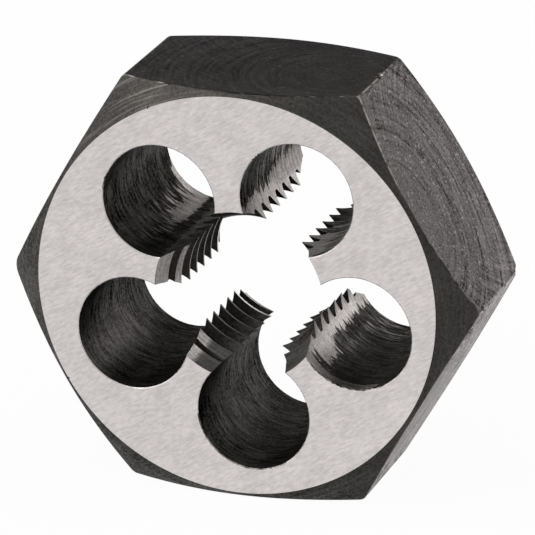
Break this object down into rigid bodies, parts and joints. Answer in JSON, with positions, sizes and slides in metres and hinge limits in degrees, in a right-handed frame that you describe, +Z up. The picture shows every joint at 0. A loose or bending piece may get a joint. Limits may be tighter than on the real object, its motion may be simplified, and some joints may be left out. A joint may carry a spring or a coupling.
{
  "type": "hex die nut",
  "caption": "Hexagonal rethreading die in one piece: a turned hexagon with a right-hand cutting thread split into lands by drilled chip flutes.",
  "frame": {"origin": "centre of the hexagon at half the nut's thickness", "axes": "+Z up, normal to the upper flat; the thread axis runs along Y and the lead-in face looks towards -Y; +X to the right of that face, through a corner of the hexagon"},
  "size_m": [0.0472, 0.0176, 0.041],
  "materials": {
    "tool_steel": "hardened tool steel: ground faces, dark turned chamfers and milled flats"
  },
  "bodies": {
    "root": {"die_nut": "tool_steel"}
  },
  "joints": []
}
